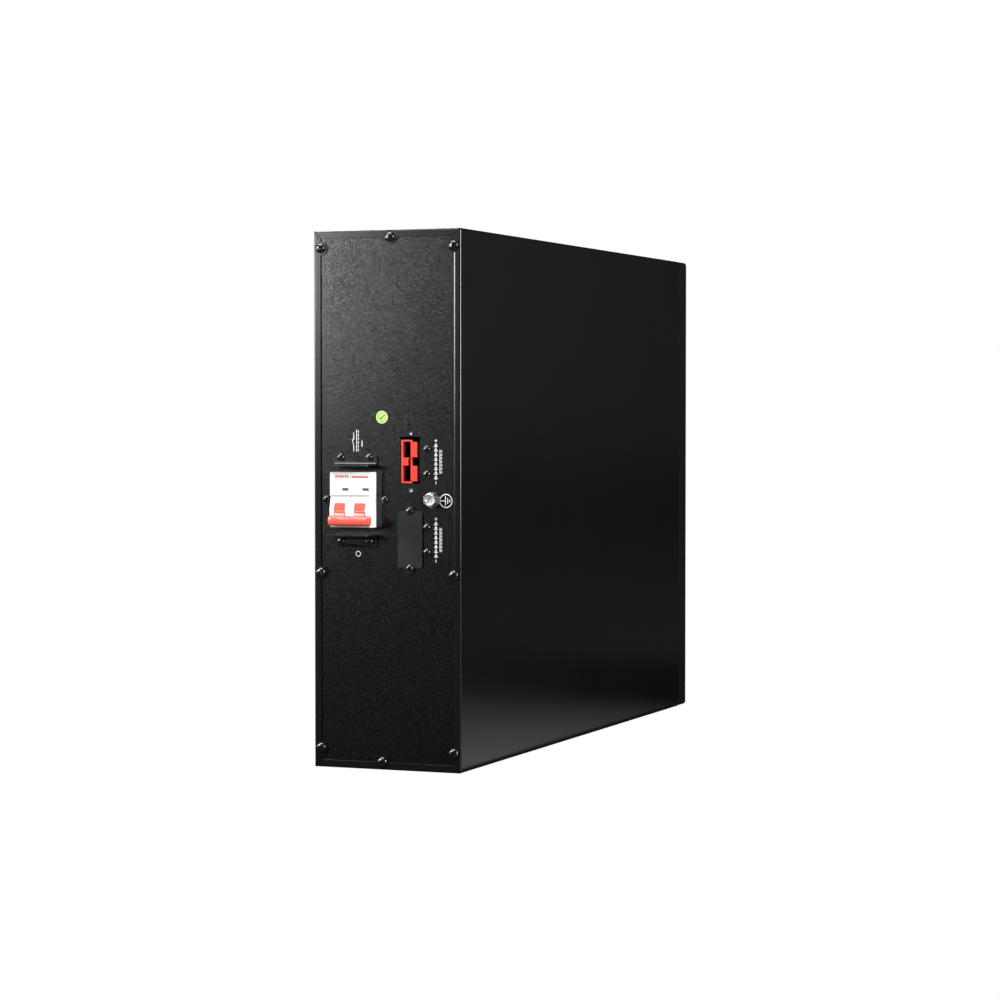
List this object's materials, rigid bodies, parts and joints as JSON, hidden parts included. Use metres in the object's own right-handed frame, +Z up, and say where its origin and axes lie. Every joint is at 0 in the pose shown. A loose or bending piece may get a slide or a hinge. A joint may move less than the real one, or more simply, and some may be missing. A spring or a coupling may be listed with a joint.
{
  "type": "server rack battery",
  "caption": "Rack battery cabinet standing on its narrow side: black sheet-metal case, two-pole breaker with finger guards, red battery connector, covered spare, earth screw and pull-off bezel.",
  "frame": {"origin": "centre of the bottom of the bounding box, on the surface that the narrow side stands on", "axes": "+Z up, +Y from the connection panel to the front bezel, +X out of the plain base side of the case (its underside when it lies in a rack)"},
  "size_m": [0.13, 0.603, 0.438],
  "materials": {
    "case_paint": "satin black powder coat, smooth",
    "panel_paint": "semi-gloss black powder coat with a fine sandy texture",
    "black_screw": "glossy black zinc",
    "zinc_steel": "bright zinc plate",
    "galvanised_steel": "galvanised sheet",
    "breaker_white": "moulded thermoset, satin",
    "handle_red": "moulded nylon, satin",
    "connector_red": "moulded polycarbonate, satin",
    "contact_silver": "silver-plated copper",
    "copper": "bare copper",
    "sticker_green": "paper label",
    "bezel_plastic": "fine spark-eroded texture",
    "block_case": "moulded ABS",
    "fuse_body": "fibre tube",
    "lead_insulation": "flexible lead insulation"
  },
  "bodies": {
    "cabinet": {"chassis_pan": "case_paint", "chassis_cover": "case_paint", "connector_holders": "case_paint", "rear_panel": "panel_paint", "upper_guard": "panel_paint", "lower_guard": "panel_paint", "blank_plate": "panel_paint", "panel_screws": "black_screw", "small_screws": "black_screw", "side_screws": "black_screw", "panel_nuts": "zinc_steel", "earth_screw": "zinc_steel", "earth_washers": "zinc_steel", "earth_nut": "zinc_steel", "din_rail": "zinc_steel", "breaker_bracket": "zinc_steel", "breaker_pins": "zinc_steel", "terminal_cages": "zinc_steel", "terminal_screws": "zinc_steel", "arc_chutes": "zinc_steel", "lower_tray": "galvanised_steel", "upper_tray": "galvanised_steel", "bay_bulkhead": "galvanised_steel", "front_plate": "galvanised_steel", "breaker_case_left": "breaker_white", "breaker_case_right": "breaker_white", "connector_housing": "connector_red", "spare_connector_housing": "connector_red", "connector_contacts": "contact_silver", "trip_coils": "copper", "round_sticker": "sticker_green", "battery_01": "block_case", "battery_02": "block_case", "battery_03": "block_case", "battery_04": "block_case", "battery_05": "block_case", "battery_06": "block_case", "battery_07": "block_case", "battery_08": "block_case", "battery_09": "block_case", "battery_10": "block_case", "battery_11": "block_case", "battery_12": "block_case", "battery_13": "block_case", "battery_14": "block_case", "battery_15": "block_case", "battery_16": "block_case", "battery_17": "block_case", "battery_18": "block_case", "battery_19": "block_case", "battery_20": "block_case", "string_fuse": "fuse_body", "jumper_leads": "lead_insulation", "connector_leads": "lead_insulation", "battery_leads": "lead_insulation"},
    "handle": {"toggle_left": "handle_red", "toggle_right": "handle_red", "handle_tie_bar": "handle_red"},
    "contacts": {"contact_arms": "copper"},
    "bezel": {"front_bezel": "bezel_plastic"}
  },
  "joints": [
    {"name": "breaker_throw", "type": "hinge", "parent": "cabinet", "child": "handle", "pos_m": [-0.028, -0.2875, 0.211], "axis": [-1, 0, 0], "range_deg": [0, 60]},
    {"name": "contact_swing", "type": "hinge", "parent": "cabinet", "child": "contacts", "pos_m": [-0.028, -0.2655, 0.214], "axis": [-1, 0, 0], "range_deg": [0, 15]},
    {"name": "bezel_pull", "type": "slide", "parent": "cabinet", "child": "bezel", "axis": [0, 1, 0], "range_m": [0, 0.045]}
  ],
  "couplings": [
    {"joint": "contact_swing", "follows": "breaker_throw", "ratio": 0.2417}
  ]
}
